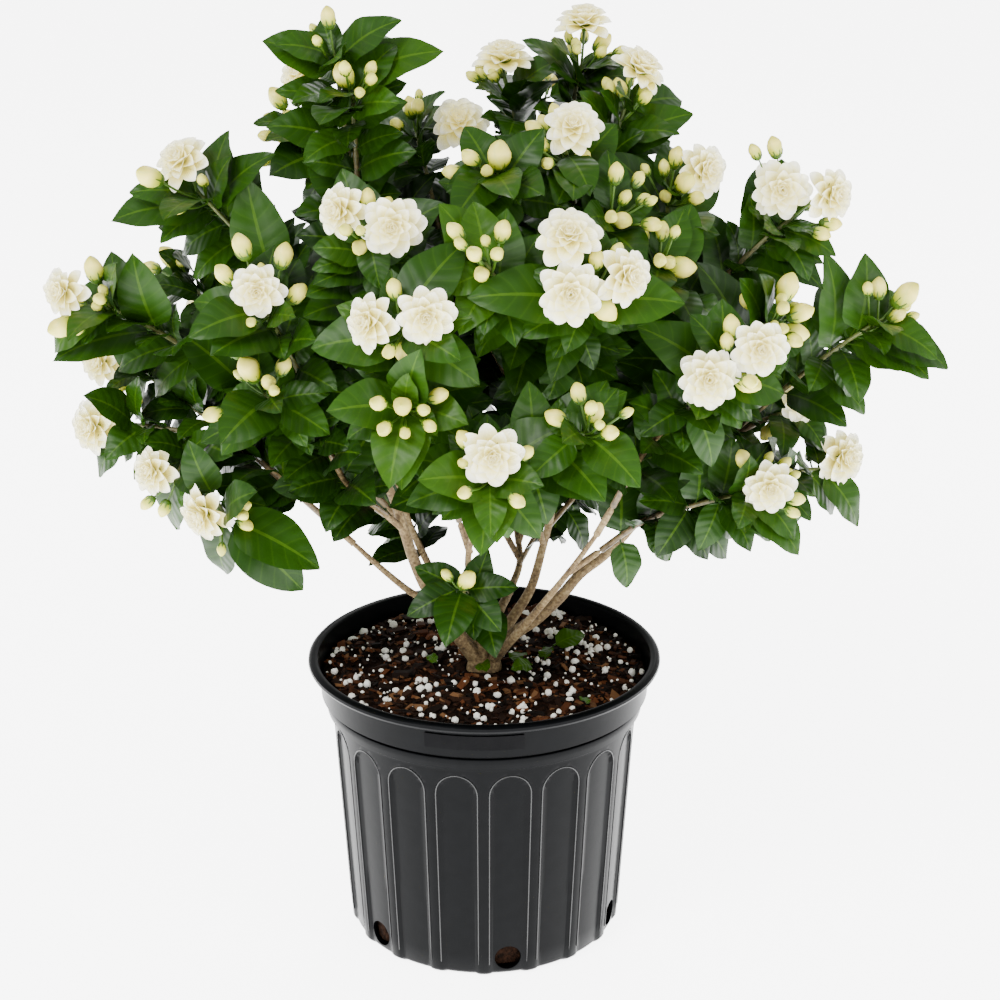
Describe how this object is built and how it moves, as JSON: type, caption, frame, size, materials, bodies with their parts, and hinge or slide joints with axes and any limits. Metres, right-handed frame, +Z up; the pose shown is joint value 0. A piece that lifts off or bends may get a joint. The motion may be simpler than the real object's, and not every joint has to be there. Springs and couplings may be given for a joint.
{
  "type": "potted jasmine",
  "caption": "Bushy double-flowered jasmine in a round ribbed black plastic nursery pot with rolled rim, drain holes and bark soil mix.",
  "frame": {"origin": "middle of the pot's flat underside", "axes": "+Z up the plant, -Y towards the front that faces the viewer, +X to the viewer's right"},
  "size_m": [0.6834, 0.5379, 0.7497],
  "materials": {
    "pot_plastic": "black moulded nursery plastic, slightly glossy",
    "label_paper": "blank dark stick-on label",
    "soil_mix": "dark bark and peat mix with white perlite grains",
    "bark": "grey-brown thin bark",
    "leaf_green": "smooth semi-glossy green leaves, stems and buds",
    "petal_white": "soft matt white petals"
  },
  "bodies": {
    "root": {"pot": "pot_plastic", "label": "label_paper", "soil": "soil_mix", "wood": "bark", "branch_back_left": "leaf_green", "branch_back_right": "leaf_green", "branch_back_top": "leaf_green", "branch_front": "leaf_green", "branch_front_high": "leaf_green", "branch_front_left": "leaf_green", "branch_left_front": "leaf_green", "branch_left_high": "leaf_green", "branch_left_low": "leaf_green", "branch_left_top": "leaf_green", "branch_low_sprout": "leaf_green", "branch_right_far": "leaf_green", "branch_right_front": "leaf_green", "branch_right_low": "leaf_green", "branch_right_mid": "leaf_green", "branch_right_top": "leaf_green", "branch_top_back": "leaf_green", "branch_top_front": "leaf_green", "branch_top_left": "leaf_green", "branch_top_right": "leaf_green", "branch_upper_left": "leaf_green", "branch_upper_right": "leaf_green", "bloom_01": "petal_white", "bloom_02": "petal_white", "bloom_03": "petal_white", "bloom_04": "petal_white", "bloom_05": "petal_white", "bloom_06": "petal_white", "bloom_07": "petal_white", "bloom_08": "petal_white", "bloom_09": "petal_white", "bloom_10": "petal_white", "bloom_11": "petal_white", "bloom_12": "petal_white", "bloom_13": "petal_white", "bloom_14": "petal_white", "bloom_15": "petal_white", "bloom_16": "petal_white", "bloom_17": "petal_white", "bloom_18": "petal_white", "bloom_19": "petal_white", "bloom_20": "petal_white", "bloom_21": "petal_white", "bloom_22": "petal_white", "bloom_23": "petal_white", "bloom_24": "petal_white", "bloom_25": "petal_white", "bloom_26": "petal_white", "bloom_27": "petal_white", "bloom_28": "petal_white", "bloom_29": "petal_white", "bloom_30": "petal_white", "bloom_31": "petal_white", "bloom_32": "petal_white", "bloom_33": "petal_white", "bloom_34": "petal_white"}
  },
  "joints": []
}
